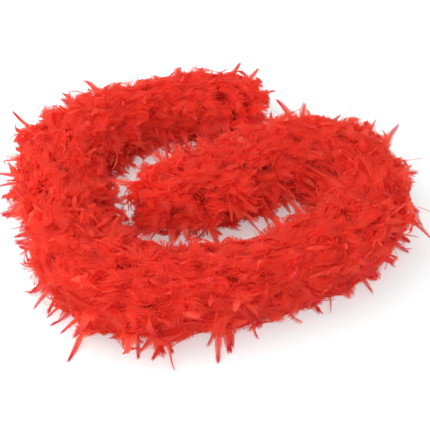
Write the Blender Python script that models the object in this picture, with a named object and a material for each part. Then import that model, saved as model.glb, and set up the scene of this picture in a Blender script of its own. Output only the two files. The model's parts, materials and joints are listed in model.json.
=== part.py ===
"""A feather boa laid down in an inward spiral.

A limp cotton cord runs through the whole boa. Feathers are bound to it by their quills,
row after row, so the boa is a soft ruff of feathers 0.16 to 0.19 m wide with the cord
in its middle. The cord ends in a whipping and a knot at each end.

The boa lies on the plane z = 0. The cord, its thread binding and the feather rows are
divided into LINKS lengths, which turn on each other where the cord bends.
"""

import math
import random

import bpy
from mathutils import Vector

# ---- driving dimensions, metres and degrees ----
BOA_LENGTH = 1.83  # knot to knot
LINKS = 18
ROOT_LINK = 7  # the link in the boa's middle, from which both ends move
LINK_GAP = 0.0016  # between the cords of two links
SETBACK = 0.0018  # of the binding and the quills from the end of their link's cord
ROWS_PER_LINK = 3
BLADES_PER_ROW = 7
POINTS_PER_BLADE = 3  # valley, shoulder, tip

CORD_RADIUS = 0.002
PATH_STEPS = 3  # straight runs of the cord in one link
CORD_BEVEL = 2  # bevel resolution, which gives the cord 8 sides
TOUCH_GAP = 0.0003  # between parts that touch
BINDING_WALL = 0.0012
SLEEVE_SIDES = 8
QUILL_BUNDLE_RADIUS = 0.009
QUILL_END_RADIUS = 0.0054  # the bundle is thinner at its ends, so that two links can turn
BLADE_THICKNESS = 0.004
BLADE_LENGTHS = (0.88, 1.0)  # shortest and longest, as shares of the reach
SEED = 7

CORD_HEIGHT = 0.060  # of the cord over the plane the boa lies on
REACH_OUT = 0.096  # of the feathers, sideways, on the open side
REACH_IN = 0.084  # and on the side that faces the next turn
REACH_UP = 0.068
REACH_DOWN = 0.086  # before the plane bends them flat
BEND_SHARE = 0.72  # feathers on the inside of a bend reach this share of its radius
VALLEY_SHARE = 0.50  # outline of a feather, as shares of its reach
SHOULDER_SHARE = 0.84
STAGGER = 0.013  # every other feather of a row leans forward, and the rest back
END_LEAN = 0.120  # how far the end rows lean past their quills, along the cord
END_LEAN_FADE = 0.045  # the lean fades over this length of cord

WHIPPING_LENGTH = 0.006
KNOT_RADIUS = 0.0048
KNOT_STRAND_RADIUS = 0.0014
KNOT_POINTS = 42
KNOT_BEVEL = 1

# the cord's route over the plane, inner end first, with the middle of the object's
# box at the origin
ROUTE = [
    (-0.093, -0.032),
    (-0.040, -0.013),
    (0.026, 0.017),
    (0.094, 0.059),
    (0.163, 0.097),
    (0.229, 0.093),
    (0.279, 0.038),
    (0.286, -0.044),
    (0.252, -0.121),
    (0.188, -0.181),
    (0.114, -0.220),
    (0.039, -0.243),
    (-0.035, -0.252),
    (-0.105, -0.250),
    (-0.169, -0.233),
    (-0.223, -0.191),
    (-0.262, -0.126),
    (-0.280, -0.046),
    (-0.283, 0.043),
    (-0.256, 0.130),
    (-0.196, 0.198),
    (-0.119, 0.238),
    (-0.040, 0.256),
    (0.038, 0.254),
    (0.091, 0.240),
]
ROUTE_STEPS = 24  # samples between two route points
HEADING_REACH = 0.012  # the cord's direction is read over this length to each side
BEND_REACH = 0.03
STRAIGHT = 1e-6  # a bend under this, per metre, counts as straight

COLLECTION = "Feather boa"
# colour and roughness
RED_FEATHER = ((0.62, 0.020, 0.012, 1.0), 0.8)
DYED_COTTON = ((0.42, 0.016, 0.012, 1.0), 0.9)
RED_THREAD = ((0.50, 0.012, 0.010, 1.0), 0.7)


# ---- the route ----
class Route:
    """A smooth curve through the route points, read by its length from the inner end."""

    def __init__(self, points):
        ends = [self._mirror(points[0], points[1])] + list(points)
        ends.append(self._mirror(points[-1], points[-2]))
        self.samples = []
        for i in range(1, len(ends) - 2):
            for step in range(ROUTE_STEPS):
                self.samples.append(self._catmull_rom(ends[i - 1 : i + 3], step / ROUTE_STEPS))
        self.samples.append(Vector((*points[-1], CORD_HEIGHT)))
        self.lengths = [0.0]
        for a, b in zip(self.samples, self.samples[1:]):
            self.lengths.append(self.lengths[-1] + (b - a).length)

    @staticmethod
    def _mirror(end, inner):
        return (2 * end[0] - inner[0], 2 * end[1] - inner[1])

    @staticmethod
    def _catmull_rom(four, t):
        a, b, c, d = (Vector((*p, CORD_HEIGHT)) for p in four)
        return 0.5 * (
            2 * b + (c - a) * t + (2 * a - 5 * b + 4 * c - d) * t**2 + (3 * b - a - 3 * c + d) * t**3
        )

    def point(self, s):
        """The point at length s; before the start and past the end the route runs straight on."""
        total = self.lengths[-1]
        if s < 0:
            return self.samples[0] + self.heading(0.0) * s
        if s > total:
            return self.samples[-1] + self.heading(total) * (s - total)
        i = next(k for k, length in enumerate(self.lengths) if length >= s)
        if i == 0:
            return self.samples[0].copy()
        share = (s - self.lengths[i - 1]) / (self.lengths[i] - self.lengths[i - 1])
        return self.samples[i - 1].lerp(self.samples[i], share)

    def heading(self, s):
        total = self.lengths[-1]
        low = max(0.0, s - HEADING_REACH)
        high = min(total, s + HEADING_REACH)
        return (self.point(high) - self.point(low)).normalized()

    def curvature(self, s):
        """Turning per metre, positive to the left."""
        a, b = self.heading(s - BEND_REACH), self.heading(s + BEND_REACH)
        return math.atan2(a.x * b.y - a.y * b.x, a.x * b.x + a.y * b.y) / (2 * BEND_REACH)


# ---- building blocks ----
def material(name, look):
    colour, roughness = look
    made = bpy.data.materials.new(name)
    made.use_nodes = True
    shader = made.node_tree.nodes["Principled BSDF"]
    shader.inputs["Base Color"].default_value = colour
    shader.inputs["Roughness"].default_value = roughness
    shader.inputs["Metallic"].default_value = 0.0
    made.diffuse_color = colour
    return made


def add_object(name, data, look, pivot):
    made = bpy.data.objects.new(name, data)
    data.materials.append(material(name + "_material", look))
    made.location = pivot
    bpy.data.collections[COLLECTION].objects.link(made)
    return made


def add_ring_loft(name, rings, look, pivot):
    """A closed tube-like body: each ring is joined to the next, and the last to the first."""
    count = len(rings[0])
    points = [point - pivot for ring in rings for point in ring]
    faces = []
    for r in range(len(rings)):
        after = (r + 1) % len(rings)
        for k in range(count):
            side = (k + 1) % count
            faces.append(
                (r * count + k, r * count + side, after * count + side, after * count + k)
            )
    mesh = bpy.data.meshes.new(name)
    mesh.from_pydata(points, [], faces)
    mesh.validate()
    return add_object(name, mesh, look, pivot)


def round_ring(route, s, radius, count):
    """A circle of points around the cord at length s."""
    centre, side = route.point(s), side_of(route, s)
    ring = []
    for k in range(count):
        angle = 2 * math.pi * k / count
        ring.append(centre + (side * math.cos(angle) + Vector((0, 0, math.sin(angle)))) * radius)
    return ring


def path_places(start, end):
    """Where one link bends: its cord, binding and quills share these corners."""
    return [start + (end - start) * k / PATH_STEPS for k in range(PATH_STEPS + 1)]


def side_of(route, s):
    """The level direction to the left of the cord."""
    ahead = route.heading(s)
    return Vector((-ahead.y, ahead.x, 0.0))


# ---- the cord ----
def add_core_cord(name, route, places, pivot):
    curve = bpy.data.curves.new(name, "CURVE")
    curve.dimensions = "3D"
    curve.bevel_depth = CORD_RADIUS
    curve.bevel_resolution = CORD_BEVEL
    curve.use_fill_caps = True
    spline = curve.splines.new("POLY")
    spline.points.add(len(places) - 1)
    for corner, s in zip(spline.points, places):
        corner.co = (*(route.point(s) - pivot), 1.0)
    return add_object(name, curve, DYED_COTTON, pivot)


def add_thread_sleeve(name, route, places, pivot):
    """Thread wound round the cord, as a sleeve."""
    inner = CORD_RADIUS + TOUCH_GAP
    outer = inner + BINDING_WALL
    rings = [round_ring(route, s, outer, SLEEVE_SIDES) for s in places]
    rings += [round_ring(route, s, inner, SLEEVE_SIDES) for s in reversed(places)]
    return add_ring_loft(name, rings, RED_THREAD, pivot)


def add_end_knot(name, route, s):
    """An overhand knot: a trefoil of cord, lying across the cord's own end."""
    centre, ahead, side = route.point(s), route.heading(s), side_of(route, s)
    curve = bpy.data.curves.new(name, "CURVE")
    curve.dimensions = "3D"
    curve.bevel_depth = KNOT_STRAND_RADIUS
    curve.bevel_resolution = KNOT_BEVEL
    spline = curve.splines.new("POLY")
    spline.points.add(KNOT_POINTS - 1)
    spline.use_cyclic_u = True
    for k in range(KNOT_POINTS):
        turn = 2 * math.pi * k / KNOT_POINTS
        across = (math.sin(turn) + 2 * math.sin(2 * turn)) / 3
        up = (math.cos(turn) - 2 * math.cos(2 * turn)) / 3
        along = -math.sin(3 * turn) / 2
        point = KNOT_RADIUS * (side * across + Vector((0, 0, up)) + ahead * along)
        spline.points[k].co = (*point, 1.0)
    return add_object(name, curve, DYED_COTTON, centre)


# ---- the feathers ----
def reach_at(route, s, angle):
    """How far the feathers reach from the cord in a direction around it, angle 0 to the left."""
    bend = route.curvature(s)
    # the boa turns to the right all along, so its left side is the open one
    left = math.cos(angle) > 0
    wide = REACH_OUT if left else REACH_IN
    if abs(bend) > STRAIGHT and (bend > 0) == left:
        wide = min(wide, BEND_SHARE / abs(bend))
    tall = REACH_UP if math.sin(angle) > 0 else REACH_DOWN
    return 1 / math.hypot(math.cos(angle) / wide, math.sin(angle) / tall)


def lean_at(s):
    """The end rows lean outwards, which closes the boa's ends."""
    from_start = math.exp(-s / END_LEAN_FADE)
    from_end = math.exp(-(BOA_LENGTH - s) / END_LEAN_FADE)
    return END_LEAN * (from_end - from_start)


def feather_outline(route, s, rng):
    """The outline of one row: flat feathers side by side, each with a valley, a shoulder and a tip.

    The feathers under the cord are bent up by the plane the boa lies on.
    """
    centre, ahead, side = route.point(s), route.heading(s), side_of(route, s)
    outline = []
    for blade in range(BLADES_PER_ROW):
        length = rng.uniform(*BLADE_LENGTHS)
        lean = lean_at(s) + (STAGGER if blade % 2 else -STAGGER)
        for k, share in enumerate((VALLEY_SHARE, SHOULDER_SHARE * length, length)):
            angle = 2 * math.pi * (blade + k / POINTS_PER_BLADE) / BLADES_PER_ROW
            reach = share * reach_at(route, s, angle)
            point = centre + side * (reach * math.cos(angle)) + ahead * (lean * share)
            point.z = max(0.0, CORD_HEIGHT + reach * math.sin(angle))
            outline.append(point)
    return outline


def add_plume_whorl(name, route, places, pivot, rng):
    """The feathers of one link: rows of flat feathers joined at their quills."""
    bore = CORD_RADIUS + BINDING_WALL + 3 * TOUCH_GAP
    start, end = places[0], places[-1]
    count = BLADES_PER_ROW * POINTS_PER_BLADE
    pitch = (end - start) / ROWS_PER_LINK
    half = BLADE_THICKNESS / 2
    rings = [round_ring(route, start, QUILL_END_RADIUS, count)]
    for row in range(ROWS_PER_LINK):
        s = start + (row + 0.5) * pitch
        outline = feather_outline(route, s, rng)
        ahead = route.heading(s)
        rings.append(round_ring(route, s - half, QUILL_BUNDLE_RADIUS, count))
        rings.append([point - ahead * half for point in outline])
        rings.append([point + ahead * half for point in outline])
        rings.append(round_ring(route, s + half, QUILL_BUNDLE_RADIUS, count))
    rings.append(round_ring(route, end, QUILL_END_RADIUS, count))
    rings += [round_ring(route, s, bore, count) for s in reversed(places)]
    return add_ring_loft(name, rings, RED_FEATHER, pivot)


# ---- the object ----
def build():
    for old in list(bpy.data.objects):
        bpy.data.objects.remove(old)
    bpy.context.scene.collection.children.link(bpy.data.collections.new(COLLECTION))

    route = Route(ROUTE)
    rng = random.Random(SEED)
    pitch = BOA_LENGTH / LINKS
    collar = WHIPPING_LENGTH + LINK_GAP
    for link in range(1, LINKS + 1):
        number = f"{link:02d}"
        start = (link - 1) * pitch + LINK_GAP / 2
        end = link * pitch - LINK_GAP / 2
        # a link turns about the joint on the side of the boa's middle
        pivot = route.point(link * pitch if link < ROOT_LINK else (link - 1) * pitch)
        # the cord's two ends carry a whipping instead of feathers
        first = start + (collar if link == 1 else SETBACK)
        last = end - (collar if link == LINKS else SETBACK)
        places = path_places(first, last)
        corners = [start] + places + [end]
        if link == 1:
            corners.insert(1, start + WHIPPING_LENGTH)
        if link == LINKS:
            corners.insert(-1, end - WHIPPING_LENGTH)
        add_core_cord("core_cord_" + number, route, corners, pivot)
        add_thread_sleeve("quill_binding_" + number, route, places, pivot)
        add_plume_whorl("plume_whorl_" + number, route, places, pivot, rng)

    near, far = LINK_GAP / 2, BOA_LENGTH - LINK_GAP / 2
    knot_reach = KNOT_RADIUS / 2 + KNOT_STRAND_RADIUS + TOUCH_GAP
    for name, place in (("inner", near), ("outer", far - WHIPPING_LENGTH)):
        whipped = [place, place + WHIPPING_LENGTH]
        add_thread_sleeve("end_whipping_" + name, route, whipped, route.point(place))
    add_end_knot("end_knot_inner", route, near - knot_reach)
    add_end_knot("end_knot_outer", route, far + knot_reach)


build()
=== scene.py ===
"""The looks of a scarlet feather boa, laid down in an inward spiral.

Each link of the CAD model holds a length of cord with rows of feathers bound to it. Here every feather
is made on its own: a curved quill, a pointed vane of barbs that lie side by side, and loose down around
most of the quill. The feathers of one link are one piece, which moves with that link's body.
"""

import json
import math
from collections import namedtuple

import bpy
import numpy as np
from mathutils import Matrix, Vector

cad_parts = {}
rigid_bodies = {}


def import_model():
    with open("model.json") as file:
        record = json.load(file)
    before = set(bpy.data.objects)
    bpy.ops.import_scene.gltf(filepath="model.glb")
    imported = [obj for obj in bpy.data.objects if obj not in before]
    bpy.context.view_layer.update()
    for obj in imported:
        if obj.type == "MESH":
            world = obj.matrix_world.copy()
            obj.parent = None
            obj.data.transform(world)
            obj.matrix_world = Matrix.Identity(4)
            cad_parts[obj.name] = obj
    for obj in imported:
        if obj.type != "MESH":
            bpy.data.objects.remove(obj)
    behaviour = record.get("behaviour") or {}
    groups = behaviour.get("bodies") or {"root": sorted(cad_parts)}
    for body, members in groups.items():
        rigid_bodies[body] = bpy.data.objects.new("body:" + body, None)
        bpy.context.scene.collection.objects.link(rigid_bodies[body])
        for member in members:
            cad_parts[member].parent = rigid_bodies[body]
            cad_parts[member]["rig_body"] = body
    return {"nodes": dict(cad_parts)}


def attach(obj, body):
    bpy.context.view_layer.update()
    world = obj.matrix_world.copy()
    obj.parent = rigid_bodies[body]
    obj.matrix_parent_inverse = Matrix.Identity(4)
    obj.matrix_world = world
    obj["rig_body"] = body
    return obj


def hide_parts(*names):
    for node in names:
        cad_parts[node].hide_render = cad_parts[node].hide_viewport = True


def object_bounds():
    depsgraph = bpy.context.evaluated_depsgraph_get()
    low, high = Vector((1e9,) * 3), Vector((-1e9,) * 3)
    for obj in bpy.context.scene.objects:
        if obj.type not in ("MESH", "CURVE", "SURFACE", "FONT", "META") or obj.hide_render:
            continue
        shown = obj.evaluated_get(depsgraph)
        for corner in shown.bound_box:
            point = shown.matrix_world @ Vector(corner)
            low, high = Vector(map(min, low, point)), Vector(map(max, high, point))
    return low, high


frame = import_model()
cad_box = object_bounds()

# ---- the boa, as in the CAD model, metres ----
BOA_LENGTH = 1.83
LINKS = 18
LINK_LENGTH = BOA_LENGTH / LINKS
CORD_HEIGHT = 0.060
REACH_OUT = 0.086  # of the feathers from the cord, sideways, on the spiral's open side
REACH_IN = 0.090  # and on the side that faces the next turn
REACH_UP = 0.068
REACH_DOWN = 0.086  # before the surface bends them flat
BEND_SHARE = 0.86  # feathers on the inside of a bend reach this share of its radius
TUFTS = 0.036  # how uneven the ruff's surface is: the height of each of these waves, in reaches
TUFT_WAVES = [(115, 2, 0), (71, -3, 1), (43, 5, 2)]  # radians per metre, turns round the cord, phase
# how full the ruff is where each link starts, from the inner end on, and where the last one ends
FULL_OUT = [0.80, 0.96, 1.0, 0.78, 1.16, 0.92, 0.78, 0.64, 0.58, 0.76]
FULL_OUT += [1.06, 0.84, 0.62, 0.92, 1.40, 1.08, 0.54, 1.0, 0.80]
FULL_IN = [0.72, 1.14, 0.98, 1.15, 1.10, 1.0, 1.0, 0.97, 0.93, 0.90]
FULL_IN += [1.0, 1.04, 1.12, 1.02, 0.88, 0.92, 0.84, 1.0, 0.92]
ROUTE = [
    (-0.093, -0.032),
    (-0.040, -0.013),
    (0.026, 0.017),
    (0.094, 0.059),
    (0.163, 0.097),
    (0.229, 0.093),
    (0.279, 0.038),
    (0.286, -0.044),
    (0.252, -0.121),
    (0.188, -0.181),
    (0.114, -0.220),
    (0.039, -0.243),
    (-0.035, -0.252),
    (-0.105, -0.250),
    (-0.169, -0.233),
    (-0.223, -0.191),
    (-0.262, -0.126),
    (-0.280, -0.046),
    (-0.283, 0.043),
    (-0.256, 0.130),
    (-0.196, 0.198),
    (-0.119, 0.238),
    (-0.040, 0.256),
    (0.038, 0.254),
    (0.091, 0.240),
]
ROUTE_STEPS = 24  # samples between two route points
HEADING_REACH = 0.012  # the cord's direction is read over this length to each side
BEND_REACH = 0.03  # and its bend over this one

# ---- the quills: metres, degrees, and shares of the ruff's reach ----
SEED = 7
FEATHERS_PER_LINK = 270
START_SPREAD = (0.3, 0.7)  # where a quill starts within its own share of the cord
GOLDEN_TURN = math.pi * (3 - math.sqrt(5))  # spreads the quills evenly round the cord
ANGLE_SPREAD = 0.18  # radians
EVEN_STEP = 0.7549  # of a full turn, spreads the directions that the feathers lean in
EVEN_SPREAD = 0.12
ROOT_RADIUS = 0.0045  # of the quills' ends from the cord's middle
QUILL_RADIUS = 0.0008
QUILL_TAPER = 0.85
QUILL_STATIONS = 13
MEAN_REACH = 0.085
PROUD_SHARE = 0.19  # of the feathers at the sides stand out of the ruff
PROUD_ASIDE = 0.5  # the least cosine of their angle from level
REACH_LAID = (0.84, 1.20)
REACH_PROUD = (1.12, 1.46)
REACH_ACROSS = 1.13  # the most for those that face the next turn
START_TILT = (4, 38)  # of a quill from straight out, at the cord
END_TILT_LAID = (48, 96)  # and at its tip
END_TILT_PROUD = (12, 60)
TILT_POWER = 1.3  # a higher power leaves more of the curl to the tip
ALONG_LAID = 0.80  # feathers lean along the cord by this share of how far they lean around it
ALONG_PROUD = 0.50
LONGEST = 1.75  # of a quill
END_LEAN = 40  # how far the feathers lean out at the boa's two ends
END_LEAN_FADE = 0.040  # the lean fades over this length of cord
DROOP_LAID = (0.0, 0.022)  # how far the tips sink under their weight
DROOP_PROUD = (0.0, 0.045)
TWIST = 0.25  # radians
TWIST_ALONG = 0.4  # radians from a quill's foot to its tip
OUTERMOST_ASIDE = 0.6  # proud feathers with at least this cosine form the spiral's outer fringe

# ---- how the ruff and the floor hold the barbs ----
TOP_ROOM = 0.010  # how far the topmost feathers may stand over the CAD model's top
SIDE_ROOM = 0.026  # and the outermost over its sides
SOFT_ROOM = (0.012, 0.012, 0.010)  # feathers are pressed gently over this last stretch
LOWEST = 0.0003  # no feather lies lower
FLOOR_GAP = (0.0006, 0.0050)  # height of the feathers that lie on the surface
PRESS_POWER = 10  # how sharply the ruff's surface stops a barb
DOWN_LIMIT = (0.80, 0.97)  # of the reach, for loose down
VANE_LIMIT = (0.90, 1.26)
FEW_LOOSE = 3  # a higher power leaves fewer vanes near their upper limit
FREE = 5.0  # a limit that never presses: a feather that stands out
NEAREST_PAST = 1.2  # barbs may be nearest to the cord this many links past their own link's ends
NEAREST_STEPS = 45

# ---- the vanes ----
VANE_START = 0.24  # share of the quill under the vane
VANE_CLUMPS = 28  # clumps of barbs on each side of the quill
VANE_HALF_WIDTH = (0.013, 0.021)  # from the narrowest vane to the widest
# the next five are for feathers that lie in the ruff, and for proud ones
BROAD_AT = (0.50, 0.26)  # where a vane is broadest, as a share of its length
BROAD_OVER = (0.34, 0.24)  # how far it stays broad
BLADE_WIDTH = (0.56, 0.84)  # of the pointed blade that goes on to the tip
BLADE_POWER = (0.5, 0.7)  # a higher power makes the blade's sides straighter
LOOSE = (1.0, 0.35)  # how loose the barbs are
BROAD_ENDS = 0.30  # the broad part narrows over this last share of the vane
VANE_OPENS = 0.12  # and the vane opens over this first one
VANE_ENDS = (0.06, 0.985)  # the width outside of these shares stays as it is there
BARB_ANGLE = (52, 17)  # of the barbs from the quill, at the vane's start and tip
BARB_ANGLE_LIMITS = (0.12, 1.25)  # radians
BARB_BEND = 0.45  # they bend forward by this share of their angle
BARB_SHORTEST = 0.0012
PARTING = (0.05, 0.08)  # radians that the barbs part by: as neighbours lean together, and each alone
PARTING_FADE = 0.7  # towards the tip
RAGGED = 0.22  # how uneven the vane's edge is, near the quill's foot
CUP = (-4, 22)  # how much the vane's edges curve back, per metre
FOLD = (-0.06, 0.30)  # the slope of the vane's two halves
WISP = 0.0007  # how far the barbs' tips stray
CLUMP_HALF_WIDTH = 0.56  # of the clumps' spacing, so that they lap over each other
CLUMP_TAPER = 0.15
BARB_STATIONS = (0.0, 0.5, 0.86, 1.0)

# ---- the loose down ----
DOWN_BARBS = 54  # on one feather
DOWN_SPAN = (0.22, 0.92)  # share of the quill with down
DOWN_LENGTH = (0.018, 0.036)
DOWN_SHORTEST = 0.55  # at the span's two ends, as a share of the length
DOWN_LONGEST_AT = 0.8  # a power under 1 moves the longest down towards the foot
DOWN_WIDTH = 0.0030
DOWN_TAPER = 0.55
DOWN_ANGLE = (38, 80)  # from the quill
DOWN_BEND = 0.5
DOWN_TURN = 0.8  # radians out of the vane's plane
DOWN_SWAY = 0.16  # how far a barb sways to one side and back, as a share of its length
SWAY_MOST = 0.8  # it sways most here
DOWN_STATIONS = (0.0, 0.36, 0.70, 1.0)

# ---- the maps: every feather of a piece has its own square ----
UV_COLUMNS = math.ceil(math.sqrt(FEATHERS_PER_LINK))
UV_MARGIN = 0.06
UV_HALF_WIDTH = 0.036  # metres across a feather that fill its square of the map
STRAND_SCALE = 100  # of the second map, per metre along a barb
DOWN_STRANDS_FROM = 60.5  # keeps the down's strands apart from the vane's in the second map
KIND_QUILL, KIND_VANE, KIND_DOWN = 0.0, 0.5, 1.0  # the material tells them apart by this

# ---- colours and materials ----
SCARLET = (0.97, 0.131, 0.081, 1.0)
ORANGE_RED = (0.98, 0.162, 0.090, 1.0)
DEEP_RED = (0.95, 0.096, 0.076, 1.0)
CRIMSON = (0.70, 0.012, 0.055, 1.0)
COTTON_DARK, COTTON_LIGHT = (0.22, 0.010, 0.008, 1.0), (0.48, 0.022, 0.016, 1.0)
THREAD_DARK, THREAD_LIGHT = (0.30, 0.010, 0.010, 1.0), (0.60, 0.020, 0.018, 1.0)
STREAK_SCALE = (7.0, 0.6, 1.0)  # of the second map: fine across a clump of barbs and long along it
STREAK_DEPTH = 0.0005  # metres
CLOUD_SCALE = 26.0  # clouds of deeper red, per metre
ROUGHNESS = (0.45, 0.85)  # of the quills and of the down
SHEEN_TINT = (1.0, 0.70, 0.62, 1.0)
LIGHT_THROUGH = 0.80  # share of the light that a feather lets through
FLOOR_COLOUR = (0.55, 0.58, 0.58, 1.0)
FLOOR_GLOW = (0.95, 1.0, 1.0, 1.0)  # the floor gives off a little light, as a lit white table does
FLOOR_GLOW_STRENGTH = 0.28
FLOOR_SIZE = 40.0
FLOOR_HEIGHT = -0.0004  # just under the CAD model's lowest face

# ---- the view and the lights: metres, degrees and watts ----
VIEW_ELEVATION = 45
VIEW_ANGLE = 34
VIEW_DISTANCE = 1.353
VIEW_TARGET = (0.006, -0.0185, 0.0)
SURROUND_STRENGTH = 0.95
LIGHTS = {  # where each square light is, its side and its power
    "key": ((-0.6, 0.4, 2.0), 1.4, 9),
    "fill": ((-0.7, -4.6, 4.2), 3.0, 158),
    "side": ((-1.4, -0.2, 1.3), 1.2, 15),
}


# ---- the route ----
def unit(v):
    return v / np.maximum(np.linalg.norm(v, axis=-1, keepdims=True), 1e-9)


class Route:
    """The cord's smooth route, read by its length from the inner end."""

    def __init__(self, points):
        """A Catmull-Rom curve through the points, with one more point before and after them."""
        ends = np.array(points)
        ends = np.vstack([2 * ends[0] - ends[1], ends, 2 * ends[-1] - ends[-2]])
        t = np.arange(ROUTE_STEPS)[:, None] / ROUTE_STEPS
        runs = []
        for a, b, c, d in zip(ends, ends[1:], ends[2:], ends[3:]):
            cubic = (2 * a - 5 * b + 4 * c - d) * t**2 + (3 * b - a - 3 * c + d) * t**3
            runs.append(0.5 * (2 * b + (c - a) * t + cubic))
        self.samples = np.vstack(runs + [ends[-2:-1]])
        runs = np.linalg.norm(np.diff(self.samples, axis=0), axis=1)
        self.lengths = np.concatenate([[0.0], np.cumsum(runs)])

    def point(self, s):
        """Points over the surface at lengths s; past the ends the route runs straight on."""
        s = np.asarray(s, float)
        total = self.lengths[-1]
        inside = np.clip(s, 0, total)
        found = np.stack([np.interp(inside, self.lengths, self.samples[:, k]) for k in (0, 1)], -1)
        first = unit(self.samples[1] - self.samples[0])
        last = unit(self.samples[-1] - self.samples[-2])
        found += np.minimum(s, 0)[..., None] * first + np.maximum(s - total, 0)[..., None] * last
        return found

    def heading(self, s):
        """The cord's direction over the surface."""
        return unit(self.point(s + HEADING_REACH) - self.point(s - HEADING_REACH))

    def bend(self, s):
        """Turning per metre, positive to the left."""
        a, b = self.heading(s - BEND_REACH), self.heading(s + BEND_REACH)
        turn = np.arctan2(a[..., 0] * b[..., 1] - a[..., 1] * b[..., 0], (a * b).sum(-1))
        return turn / (2 * BEND_REACH)


def reach_at(route, s, angle):
    """How far the ruff reaches from the cord in a direction around it, angle 0 to the left."""
    left = 0.5 + 0.5 * np.cos(angle)
    link = s / LINK_LENGTH
    links = np.arange(LINKS + 1)
    wide_in = REACH_IN * np.interp(link, links, FULL_IN)
    wide_out = REACH_OUT * np.interp(link, links, FULL_OUT)
    wide = wide_in + (wide_out - wide_in) * left
    bend = route.bend(s)
    inside = bend * np.cos(angle)
    limit = BEND_SHARE / np.maximum(np.abs(bend), 1e-6)
    wide = np.where(inside > 0, np.minimum(wide, limit), wide)
    tall = np.where(np.sin(angle) > 0, REACH_UP, REACH_DOWN)
    tufts = sum(np.sin(along * s + around * angle + phase) for along, around, phase in TUFT_WAVES)
    return (1 + TUFTS * tufts) / np.hypot(np.cos(angle) / wide, np.sin(angle) / tall)


def place(route, s, across, up):
    """World points from lengths along the cord and a place around it, in shares of the ruff's reach."""
    angle = np.arctan2(up, across)
    reach = np.hypot(up, across) * reach_at(route, s, angle)
    ahead = route.heading(s)
    side = np.stack([-ahead[..., 1], ahead[..., 0]], -1)
    flat = route.point(s) + side * (reach * np.cos(angle))[..., None]
    return np.concatenate([flat, (CORD_HEIGHT + reach * np.sin(angle))[..., None]], -1)


# ---- one link's feathers ----
def running_sum(values, t):
    """The integral of values along their last axis, 0 at its start."""
    steps = 0.5 * (values[:, 1:] + values[:, :-1]) * np.diff(t)
    return np.concatenate([np.zeros((len(values), 1)), np.cumsum(steps, 1)], 1)


# The points along each quill, the directions forward and across its vane there, its length, how far the
# ruff's surface lets it out, in reaches, and whether it is on the spiral's outer fringe.
Quills = namedtuple("Quills", "points forward wide length limit outermost")


def across_vane(route, start, angle, curl, forward):
    """The direction across each feather, square to its quill and to the way that it curls."""
    ahead = route.heading(start)
    level = np.zeros((len(start), 1))
    side = np.concatenate([-ahead[:, 1:], ahead[:, :1], level], -1)
    ahead = np.concatenate([ahead, level], -1)
    upward = np.array([0.0, 0.0, 1.0])
    cos, sin = np.cos(angle)[:, None], np.sin(angle)[:, None]
    outward = side * cos + upward * sin
    curling = (upward * cos - side * sin) * np.cos(curl)[:, None] + ahead * np.sin(curl)[:, None]
    wide = np.cross(outward, curling)[:, None, :]
    return unit(wide - forward * (wide * forward).sum(-1, keepdims=True))


def grow_quills(route, link, rng):
    """The quills of one link's feathers."""
    count = FEATHERS_PER_LINK
    order = np.arange(count)
    start = (link - 1) * LINK_LENGTH + (order + rng.uniform(*START_SPREAD, count)) / count * LINK_LENGTH
    angle = GOLDEN_TURN * (order + count * link) + rng.normal(0, ANGLE_SPREAD, count)
    proud = (rng.random(count) < PROUD_SHARE) & (np.abs(np.cos(angle)) > PROUD_ASIDE)
    reach = np.where(proud, rng.uniform(*REACH_PROUD, count), rng.uniform(*REACH_LAID, count))
    reach = np.where(np.cos(angle) < 0, np.minimum(reach, REACH_ACROSS), reach)
    first = np.radians(rng.uniform(*START_TILT, count))[:, None]
    laid_tilt, proud_tilt = rng.uniform(*END_TILT_LAID, count), rng.uniform(*END_TILT_PROUD, count)
    last = np.radians(np.where(proud, proud_tilt, laid_tilt))[:, None]
    curl = 2 * math.pi * (order * EVEN_STEP + rng.uniform(0, EVEN_SPREAD, count))

    t = np.linspace(0, 1, QUILL_STATIONS)
    tilt = first + (last - first) * t**TILT_POWER
    out, over = running_sum(np.cos(tilt), t), running_sum(np.sin(tilt), t)
    root = ROOT_RADIUS / MEAN_REACH
    length = np.minimum((reach - root) / out.max(1), LONGEST)[:, None]
    out, over = root + out * length, over * length
    around = over * np.cos(curl)[:, None]
    along = over * (np.where(proud, ALONG_PROUD, ALONG_LAID) * np.sin(curl))[:, None]

    # the feathers at the boa's ends lean out, past its knots
    ends = np.exp(-(BOA_LENGTH - start) / END_LEAN_FADE) - np.exp(-start / END_LEAN_FADE)
    lean = np.radians(END_LEAN * ends)[:, None]
    out, along = out * np.cos(lean) - along * np.sin(lean), out * np.sin(lean) + along * np.cos(lean)

    cos, sin = np.cos(angle)[:, None], np.sin(angle)[:, None]
    across, up = out * cos - around * sin, out * sin + around * cos
    points = place(route, start[:, None] + along * MEAN_REACH, across, up)
    droop = np.where(proud, rng.uniform(*DROOP_PROUD, count), rng.uniform(*DROOP_LAID, count))
    points[..., 2] -= droop[:, None] * np.abs(cos) * t**2
    lowest = rng.uniform(*FLOOR_GAP, count)[:, None]
    points[..., 2] = np.maximum(points[..., 2], lowest)

    forward = unit(np.gradient(points, axis=1))
    wide = across_vane(route, start, angle, curl, forward)
    twist = rng.normal(0, TWIST, count)[:, None] + rng.normal(0, TWIST_ALONG, count)[:, None] * t
    twist = twist[..., None]
    wide = wide * np.cos(twist) + np.cross(forward, wide) * np.sin(twist)
    real_length = np.linalg.norm(np.diff(points, axis=1), axis=2).sum(1)
    loose = VANE_LIMIT[0] + (VANE_LIMIT[1] - VANE_LIMIT[0]) * rng.random(count) ** FEW_LOOSE
    limit = np.where(proud, FREE, loose)
    outermost = proud & (np.cos(angle) > OUTERMOST_ASIDE)
    return Quills(points, forward, wide, real_length, limit, outermost)


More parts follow.
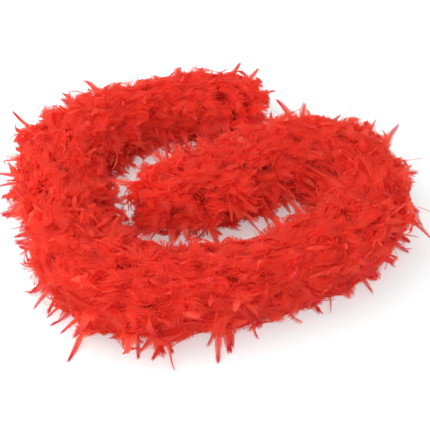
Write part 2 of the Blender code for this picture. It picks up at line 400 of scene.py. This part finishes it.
def read_at(stations, t):
    """Values at shares t of each feather's quill, from values at its stations."""
    spot = np.clip(t, 0, 1) * (QUILL_STATIONS - 1)
    low = np.minimum(spot.astype(int), QUILL_STATIONS - 2)
    rest = (spot - low)[..., None]
    feather = np.arange(len(stations))[:, None]
    return stations[feather, low] * (1 - rest) + stations[feather, low + 1] * rest


def settle(points):
    """Presses points that stand far out of the CAD model's box back, and up from the surface below."""
    low = np.array(cad_box[0]) - SIDE_ROOM
    high = np.array(cad_box[1]) + SIDE_ROOM
    low[2], high[2] = LOWEST, cad_box[1][2] + TOP_ROOM
    soft = np.array(SOFT_ROOM)
    over = np.maximum(points - (high - soft), 0)
    points = points - over + soft * np.tanh(over / soft)
    under = np.maximum(low + soft - points, 0)
    under[:, 2] = 0
    points = points + under - soft * np.tanh(under / soft)
    points[:, 2] = np.maximum(points[:, 2], low[2])
    return points


def nearest_on_cord(route, link, points):
    """The lengths along the cord nearest to points of one link's feathers."""
    places = np.linspace(link - 1 - NEAREST_PAST, link + NEAREST_PAST, NEAREST_STEPS)
    s = np.clip(places * LINK_LENGTH, 0, BOA_LENGTH)
    cord = route.point(s)
    square = (points[:, :2] ** 2).sum(1)[:, None] - 2 * points[:, :2] @ cord.T + (cord**2).sum(1)
    return s[square.argmin(1)]


def press(route, link, points, limit):
    """Presses points that stand out of the ruff back to its surface, at limit times its reach."""
    s = nearest_on_cord(route, link, points)
    ahead = route.heading(s)
    middle = np.column_stack([route.point(s), np.full(len(s), CORD_HEIGHT)])
    out = points - middle
    flat = out[:, :2]
    aside = flat[:, 1] * ahead[:, 0] - flat[:, 0] * ahead[:, 1]
    aside = np.where(aside < 0, -1, 1) * np.linalg.norm(flat, axis=1)
    share = np.linalg.norm(out, axis=1) / reach_at(route, s, np.arctan2(out[:, 2], aside))
    share = np.maximum(share, 1e-6)
    kept = (share**-PRESS_POWER + limit**-PRESS_POWER) ** (-1 / PRESS_POWER)
    return middle + out * (kept / share)[:, None]


class Ribbons:
    """Collects narrow strips that end in a point, and tubes, as one mesh with its attributes."""

    def __init__(self):
        self.points, self.loops, self.sizes = [], [], []
        self.values = {"tone": [], "along": [], "kind": [], "limit": [], "outermost": []}
        self.uvs, self.strands = [], []
        self.count = 0

    def _keep(self, points, faces, values, uv, strand):
        self.points.append(points.reshape(-1, 3))
        for quads in faces:
            self.loops.append((quads + self.count).ravel())
            self.sizes.append(np.full(len(quads), quads.shape[1]))
        for name, value in values.items():
            self.values[name].append(value.ravel())
        self.uvs.append(uv.reshape(-1, 2))
        self.strands.append(strand.reshape(-1, 2))
        self.count += points.size // 3

    def add_strips(self, middle, half, values, uv, strand):
        """Strips along middle, half to each side; every strip's last station is one point."""
        shape = middle.shape[:-1]
        stations = shape[-1]
        middle, half = middle.reshape(-1, stations, 3), half.reshape(-1, stations, 3)
        uv, strand = uv.reshape(-1, stations, 2), strand.reshape(-1, stations, 2)
        strips = len(middle)
        left, right = middle - half, middle + half
        pairs = np.stack([left[:, :-1], right[:, :-1]], 2).reshape(strips, -1, 3)
        points = np.concatenate([pairs, middle[:, -1:]], 1)

        def at_corners(value):
            """Both sides of a station take its value, and the point has its own."""
            doubled = np.repeat(value[:, :-1], 2, axis=1)
            return np.concatenate([doubled, value[:, -1:]], 1)

        first = (np.arange(strips) * points.shape[1])[:, None]
        faces = []
        for k in range(stations - 2):
            faces.append(first + np.array([2 * k, 2 * k + 1, 2 * k + 3, 2 * k + 2]))
        end = 2 * (stations - 2)
        faces.append(first + np.array([end, end + 1, end + 2]))
        strand = at_corners(strand)
        strand[:, :-1, 0] += np.tile([-0.5, 0.5], stations - 1)
        for name, value in values.items():
            values[name] = at_corners(np.broadcast_to(value, shape).reshape(-1, stations))
        self._keep(points, faces, values, at_corners(uv), strand)

    def add_tubes(self, middle, wide, normal, radius, values, uv, strand):
        """Three-sided closed tubes along middle (tubes, stations, 3)."""
        tubes, stations = middle.shape[:2]
        corners = []
        for k in range(3):
            turn = 2 * math.pi * k / 3 + math.pi / 2
            corners.append(middle + radius * (wide * math.cos(turn) + normal * math.sin(turn)))
        points = np.stack(corners, 2).reshape(tubes, -1, 3)
        first = (np.arange(tubes) * stations * 3)[:, None]
        faces = []
        for k in range(stations - 1):
            for j in range(3):
                a, b = 3 * k + j, 3 * k + (j + 1) % 3
                faces.append(first + np.array([a, b, b + 3, a + 3]))
        last = 3 * (stations - 1)
        faces.append(first + np.array([2, 1, 0]))
        faces.append(first + np.array([last, last + 1, last + 2]))
        for name, value in values.items():
            values[name] = np.repeat(np.broadcast_to(value, (tubes, stations)), 3, axis=1)
        self._keep(points, faces, values, np.repeat(uv, 3, axis=1), np.repeat(strand, 3, axis=1))

    def make(self, name, material, route, link):
        """The mesh object, with its points held by the ruff's surface, the floor and the box."""
        limit = np.concatenate(self.values.pop("limit"))
        points = settle(press(route, link, np.concatenate(self.points), limit))
        loops = np.concatenate(self.loops)
        sizes = np.concatenate(self.sizes)
        mesh = bpy.data.meshes.new(name)
        mesh.vertices.add(len(points))
        mesh.vertices.foreach_set("co", points.ravel())
        mesh.loops.add(len(loops))
        mesh.loops.foreach_set("vertex_index", loops)
        mesh.polygons.add(len(sizes))
        mesh.polygons.foreach_set("loop_start", np.concatenate([[0], np.cumsum(sizes)[:-1]]))
        mesh.update(calc_edges=True)
        for label, data in (("OFBake", self.uvs), ("strands", self.strands)):
            layer = mesh.uv_layers.new(name=label)
            layer.data.foreach_set("uv", np.concatenate(data)[loops].ravel())
        for label, data in self.values.items():
            attribute = mesh.attributes.new(label, "FLOAT", "POINT")
            attribute.data.foreach_set("value", np.concatenate(data).astype(np.float32))
        mesh.shade_smooth()
        mesh.materials.append(material)
        made = bpy.data.objects.new(name, mesh)
        bpy.context.scene.collection.objects.link(made)
        return made


def map_square(feather, along, across):
    """A place in the map: each feather of a piece has its own square."""
    column, row = feather % UV_COLUMNS, feather // UV_COLUMNS
    u = np.clip(along, 0, 1) * (1 - 2 * UV_MARGIN) + UV_MARGIN
    v = np.clip(0.5 + 0.5 * across / UV_HALF_WIDTH, 0, 1) * (1 - 2 * UV_MARGIN) + UV_MARGIN
    return np.stack([(column + u) / UV_COLUMNS, (row + v) / UV_COLUMNS], -1)


def axes_at(quills, t):
    """Places at shares t of each quill, and the directions along it, across its vane and out of it."""
    origin, run = read_at(quills.points, t), unit(read_at(quills.forward, t))
    side = read_at(quills.wide, t)
    side = unit(side - run * (side * run).sum(-1, keepdims=True))
    return origin, run, side, np.cross(run, side)


def curve_barbs(q, length, angle, bend):
    """How far along its quill and away from it each barb is, at shares q of its length."""
    steps = np.diff(q, prepend=0.0)
    bent = angle[..., None] * (1 - bend * q)
    ahead = np.cumsum(np.cos(bent) * steps, -1) * length[..., None]
    aside = np.cumsum(np.sin(bent) * steps, -1) * length[..., None]
    return ahead, aside


def choose(proud, pair):
    """The first value for feathers that lie in the ruff, and the second for proud ones."""
    return np.where(proud, pair[1], pair[0])


def vane_width(t, proud):
    """The vane's half width along it, 1 at its widest: broad and soft, then a narrower pointed blade."""
    broad = np.exp(-(((t - choose(proud, BROAD_AT)) / choose(proud, BROAD_OVER)) ** 2))
    broad = broad * np.sqrt(np.clip((1 - t) / BROAD_ENDS, 0, 1))
    blade = choose(proud, BLADE_WIDTH) * np.clip(1 - t, 0, 1) ** choose(proud, BLADE_POWER)
    return np.maximum(broad, blade) * np.minimum(1, t / VANE_OPENS)


def add_vanes(ribbons, quills, tone, rng):
    """Barbs in clumps that lie side by side, on both sides of every quill."""
    count = len(quills.points)
    spacing = (1 - VANE_START) / VANE_CLUMPS
    q = np.array(BARB_STATIONS)
    widest = rng.uniform(*VANE_HALF_WIDTH, count)[:, None]
    proud = quills.limit[:, None] == FREE
    loose = choose(proud, LOOSE)
    cup = rng.uniform(*CUP, count)[:, None, None]
    fold = rng.uniform(*FOLD, count)[:, None, None]
    place_in_vane = np.tile((np.arange(VANE_CLUMPS) + 0.5) / VANE_CLUMPS, (count, 1))
    t = VANE_START + (1 - VANE_START) * place_in_vane
    origin, run, side, normal = axes_at(quills, t)
    for hand in (-1, 1):
        # clumps lean together in places and part in others
        parting = rng.normal(0, 1, (count, VANE_CLUMPS))
        parting = np.cumsum(parting, 1) * PARTING[0] + parting * PARTING[1]
        parting = parting * (1 - PARTING_FADE * place_in_vane) * loose
        base = np.radians(BARB_ANGLE[0] + (BARB_ANGLE[1] - BARB_ANGLE[0]) * place_in_vane)
        base = np.clip(base + parting, *BARB_ANGLE_LIMITS)
        reach = widest * vane_width(np.clip(place_in_vane, *VANE_ENDS), proud)
        ragged = rng.uniform(-1, 1, (count, VANE_CLUMPS)) * (1 - place_in_vane) * loose
        reach = reach * (1 + RAGGED * ragged) + BARB_SHORTEST
        ahead, aside = curve_barbs(q, reach / np.sin(base), base, BARB_BEND)

        height = fold * aside - cup * aside**2
        middle = origin[:, :, None] + run[:, :, None] * ahead[..., None]
        middle = middle + hand * side[:, :, None] * aside[..., None]
        middle = middle + normal[:, :, None] * height[..., None]
        wisp = rng.normal(0, WISP, (count, VANE_CLUMPS, 1, 3)) * loose[..., None, None]
        middle = middle + wisp * (q**2)[:, None]
        middle[..., 2] = np.maximum(middle[..., 2], FLOOR_GAP[0])
        half_step = (spacing * quills.length[:, None] * CLUMP_HALF_WIDTH)[..., None, None]
        half = run[:, :, None] * half_step * (1 - CLUMP_TAPER * q)[:, None]

        along = t[..., None] + ahead / quills.length[:, None, None]
        number = np.broadcast_to(np.arange(VANE_CLUMPS)[:, None] + 0.5, aside.shape)
        strand = np.stack([number, aside * STRAND_SCALE], -1)
        values = {
            "tone": tone[:, None, None],
            "along": along,
            "kind": KIND_VANE,
            "limit": quills.limit[:, None, None],
            "outermost": quills.outermost[:, None, None],
        }
        uv = map_square(np.arange(count)[:, None, None], along, hand * aside)
        ribbons.add_strips(middle, half, values, uv, strand)


def add_down(ribbons, quills, tone, rng):
    """Loose wavy barbs round most of every quill."""
    count = len(quills.points)
    barbs = (count, DOWN_BARBS)
    q = np.array(DOWN_STATIONS)
    place_in_down = (np.arange(DOWN_BARBS) + rng.uniform(0, 1, barbs)) / DOWN_BARBS
    t = DOWN_SPAN[0] + (DOWN_SPAN[1] - DOWN_SPAN[0]) * place_in_down
    origin, run, side, normal = axes_at(quills, t)
    hand = np.where(np.arange(DOWN_BARBS) % 2, 1.0, -1.0)
    turn = rng.normal(0, DOWN_TURN, barbs)
    outward = hand[:, None] * side * np.cos(turn)[..., None] + normal * np.sin(turn)[..., None]
    third = np.cross(run, outward)
    angle = np.radians(rng.uniform(*DOWN_ANGLE, barbs))
    fullness = DOWN_SHORTEST + (1 - DOWN_SHORTEST) * np.sin(math.pi * place_in_down**DOWN_LONGEST_AT)
    length = rng.uniform(*DOWN_LENGTH, barbs) * fullness
    ahead, aside = curve_barbs(q, length, angle, DOWN_BEND)

    sway = rng.normal(0, DOWN_SWAY, (*barbs, 1)) * length[..., None] * q * (2 * SWAY_MOST - q)
    middle = origin[:, :, None] + run[:, :, None] * ahead[..., None]
    middle = middle + outward[:, :, None] * aside[..., None] + third[:, :, None] * sway[..., None]
    middle[..., 2] = np.maximum(middle[..., 2], FLOOR_GAP[0])
    half = third[:, :, None] * (DOWN_WIDTH / 2 * (1 - DOWN_TAPER * q))[:, None]
    half = half + normal[:, :, None] * rng.normal(0, DOWN_WIDTH / 4, (*barbs, 1, 1))

    along = t[..., None] + ahead / quills.length[:, None, None]
    number = np.broadcast_to(np.arange(DOWN_BARBS)[:, None] + DOWN_STRANDS_FROM, aside.shape)
    strand = np.stack([number, aside * STRAND_SCALE], -1)
    values = {
        "tone": tone[:, None, None],
        "along": along,
        "kind": KIND_DOWN,
        "limit": rng.uniform(*DOWN_LIMIT, (*barbs, 1)),
        "outermost": 0.0,
    }
    uv = map_square(np.arange(count)[:, None, None], along, (hand * np.cos(turn))[..., None] * aside)
    ribbons.add_strips(middle, half, values, uv, strand)


def add_quill_tubes(ribbons, quills, tone):
    """Every quill as a closed tube that tapers to its tip."""
    count, stations = quills.points.shape[:2]
    t = np.linspace(0, 1, stations)
    radius = (QUILL_RADIUS * (1 - QUILL_TAPER * t))[None, :, None]
    along = np.broadcast_to(t, (count, stations))
    nowhere = np.zeros((count, stations))
    values = {
        "tone": tone[:, None],
        "along": along,
        "kind": KIND_QUILL,
        "limit": quills.limit[:, None],
        "outermost": quills.outermost[:, None],
    }
    uv = map_square(np.arange(count)[:, None], along, nowhere)
    strand = np.stack([nowhere, t * quills.length[:, None] * STRAND_SCALE], -1)
    lifted = quills.points.copy()
    lifted[..., 2] = np.maximum(lifted[..., 2], QUILL_RADIUS)
    normal = np.cross(quills.forward, quills.wide)
    ribbons.add_tubes(lifted, quills.wide, normal, radius, values, uv, strand)


def add_feathers(route, link, material):
    """The feathers of one link of the boa, in place of its plume whorl."""
    number = f"{link:02d}"
    rng = np.random.default_rng(SEED * 100 + link)
    quills = grow_quills(route, link, rng)
    tone = rng.random(FEATHERS_PER_LINK)
    ribbons = Ribbons()
    add_vanes(ribbons, quills, tone, rng)
    add_down(ribbons, quills, tone, rng)
    add_quill_tubes(ribbons, quills, tone)
    made = ribbons.make("feathers_" + number, material, route, link)
    node = "plume_whorl_" + number
    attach(made, frame["nodes"][node]["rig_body"])
    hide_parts(node)


# ---- materials ----
class Nodes:
    """A material's node tree, built by short calls."""

    def __init__(self, name):
        self.material = bpy.data.materials.new(name)
        self.material.use_nodes = True
        self.tree = self.material.node_tree
        self.tree.nodes.clear()

    def add(self, kind, inputs=(), **settings):
        node = self.tree.nodes.new("ShaderNode" + kind)
        for name, value in settings.items():
            setattr(node, name, value)
        for name, value in dict(inputs).items():
            self.feed(node, name, value)
        return node

    def feed(self, node, name, value):
        """Links a socket, or sets its own value. A number picks an input by its place."""
        if isinstance(value, bpy.types.NodeSocket):
            self.tree.links.new(value, node.inputs[name])
        else:
            node.inputs[name].default_value = value

    def mix(self, share, a, b):
        made = self.add("Mix", data_type="RGBA")
        self.feed(made, 0, share)
        self.feed(made, 6, a)
        self.feed(made, 7, b)
        return made.outputs[2]

    def attribute(self, name):
        return self.add("Attribute", attribute_name=name).outputs["Fac"]

    def ramp(self, value, low, high, start=0.0, end=1.0):
        """value from low..high to start..end, held at the ends."""
        made = self.add("MapRange", {"Value": value, "From Min": low, "From Max": high})
        self.feed(made, "To Min", start)
        self.feed(made, "To Max", end)
        return made.outputs["Result"]

    def finish(self, shader):
        out = self.add("OutputMaterial")
        self.tree.links.new(shader, out.inputs["Surface"])
        return self.material


def feather_material():
    """Dyed feather: each has its own tone and a darker foot, and the outer fringe has crimson tips."""
    nodes = Nodes("dyed_feather")
    along, tone, kind = nodes.attribute("along"), nodes.attribute("tone"), nodes.attribute("kind")
    outermost = nodes.attribute("outermost")
    strands = nodes.add("UVMap", uv_map="strands").outputs["UV"]
    stretched = nodes.add("Mapping", {"Vector": strands, "Scale": STREAK_SCALE}).outputs["Vector"]
    streaks = nodes.add("TexNoise", {"Vector": stretched, "Scale": 1.0, "Detail": 3.0}).outputs["Fac"]
    where = nodes.add("TexCoord").outputs["Object"]
    clouds = nodes.add("TexNoise", {"Vector": where, "Scale": CLOUD_SCALE, "Detail": 2.0}).outputs["Fac"]

    lighter = nodes.ramp(tone, 0.0, 1.0, 0.0, 0.9)
    in_cloud = nodes.ramp(clouds, 0.35, 0.65, 0.0, 0.30)
    in_streak = nodes.ramp(streaks, 0.25, 0.75, 0.25, 0.0)
    at_foot = nodes.ramp(along, 0.05, 0.35, 0.30, 0.0)
    at_tip = nodes.ramp(along, 0.74, 1.0, 0.0, 0.9)
    at_outer_tip = nodes.add("Math", {0: at_tip, 1: outermost}, operation="MULTIPLY").outputs[0]
    on_quill = nodes.ramp(kind, KIND_QUILL, 0.3, 0.12, 0.0)
    colour = nodes.mix(lighter, SCARLET, ORANGE_RED)
    for share in (in_cloud, in_streak, at_foot):
        colour = nodes.mix(share, colour, DEEP_RED)
    for share in (at_outer_tip, on_quill):
        colour = nodes.mix(share, colour, CRIMSON)

    relief = {"Height": streaks, "Strength": 0.3, "Distance": STREAK_DEPTH}
    bump = nodes.add("Bump", relief).outputs["Normal"]
    shader = nodes.add("BsdfPrincipled", {"Base Color": colour, "Normal": bump})
    nodes.feed(shader, "Roughness", nodes.ramp(kind, KIND_QUILL, KIND_DOWN, *ROUGHNESS))
    nodes.feed(shader, "Specular IOR Level", 0.25)
    nodes.feed(shader, "Sheen Weight", 0.2)
    nodes.feed(shader, "Sheen Roughness", 0.5)
    nodes.feed(shader, "Sheen Tint", SHEEN_TINT)
    through = nodes.add("BsdfTranslucent", {"Color": colour, "Normal": bump})
    both = nodes.add("MixShader", {0: LIGHT_THROUGH, 1: shader.outputs[0], 2: through.outputs[0]})
    return nodes.finish(both.outputs[0])


def cotton_material(name, dark, light, scale, roughness):
    """Dyed cotton: yarns and loose fibres."""
    nodes = Nodes(name)
    where = nodes.add("TexCoord").outputs["Object"]
    yarns = nodes.add("TexVoronoi", {"Vector": where, "Scale": scale}).outputs["Distance"]
    fibres = nodes.add("TexNoise", {"Vector": where, "Scale": scale * 4, "Detail": 4.0}).outputs["Fac"]
    colour = nodes.mix(nodes.ramp(yarns, 0.1, 0.6, 1.0, 0.0), dark, light)
    colour = nodes.mix(nodes.ramp(fibres, 0.4, 0.7, 0.0, 0.4), colour, dark)
    bump = nodes.add("Bump", {"Height": yarns, "Strength": 0.7, "Distance": 0.0005}).outputs["Normal"]
    shader = nodes.add("BsdfPrincipled", {"Base Color": colour, "Normal": bump})
    nodes.feed(shader, "Roughness", roughness)
    nodes.feed(shader, "Sheen Weight", 0.2)
    return nodes.finish(shader.outputs[0])


def dress_cad_parts():
    """The cord, its thread and its knots stay as in the CAD model, with their own materials."""
    cotton = cotton_material("dyed_cotton_cord", COTTON_DARK, COTTON_LIGHT, scale=900, roughness=0.9)
    thread = cotton_material("binding_thread", THREAD_DARK, THREAD_LIGHT, scale=1600, roughness=0.6)
    for name, node in frame["nodes"].items():
        if name.startswith(("core_cord", "end_knot")):
            node.material_slots[0].material = cotton
        elif name.startswith(("quill_binding", "end_whipping")):
            node.material_slots[0].material = thread


def floor_material():
    nodes = Nodes("pale_floor")
    shader = nodes.add("BsdfPrincipled", {"Base Color": FLOOR_COLOUR})
    nodes.feed(shader, "Emission Color", FLOOR_GLOW)
    nodes.feed(shader, "Emission Strength", FLOOR_GLOW_STRENGTH)
    nodes.feed(shader, "Roughness", 0.9)
    nodes.feed(shader, "Specular IOR Level", 0.1)
    return nodes.finish(shader.outputs[0])


# ---- the stage ----
def add_camera():
    data = bpy.data.cameras.new("camera")
    data.angle = math.radians(VIEW_ANGLE)
    camera = bpy.data.objects.new("camera", data)
    tilt = math.radians(VIEW_ELEVATION)
    back, up = math.cos(tilt) * VIEW_DISTANCE, math.sin(tilt) * VIEW_DISTANCE
    camera.location = (VIEW_TARGET[0], VIEW_TARGET[1] - back, VIEW_TARGET[2] + up)
    camera.rotation_euler = (math.radians(90) - tilt, 0.0, 0.0)
    bpy.context.scene.collection.objects.link(camera)
    bpy.context.scene.camera = camera


def add_light(name, location, size, power):
    """A square soft light that faces the boa."""
    data = bpy.data.lights.new(name, "AREA")
    data.shape = "SQUARE"
    data.size = size
    data.energy = power
    light = bpy.data.objects.new(name, data)
    light.location = location
    light.rotation_euler = (-light.location).to_track_quat("-Z", "Y").to_euler()
    bpy.context.scene.collection.objects.link(light)


def add_stage():
    bpy.ops.mesh.primitive_plane_add(size=FLOOR_SIZE, location=(0.0, 0.0, FLOOR_HEIGHT))
    floor = bpy.context.object
    floor.name = "floor"
    floor.data.materials.append(floor_material())
    world = bpy.data.worlds.new("studio")
    bpy.context.scene.world = world
    world.use_nodes = True
    background = world.node_tree.nodes["Background"]
    background.inputs["Color"].default_value = (1.0, 1.0, 1.0, 1.0)
    background.inputs["Strength"].default_value = SURROUND_STRENGTH
    for name, (location, size, power) in LIGHTS.items():
        add_light(name, location, size, power)
    bpy.context.scene.view_settings.view_transform = "Standard"


add_camera()
route = Route(ROUTE)
feather = feather_material()
for link in range(1, LINKS + 1):
    add_feathers(route, link, feather)
dress_cad_parts()
add_stage()
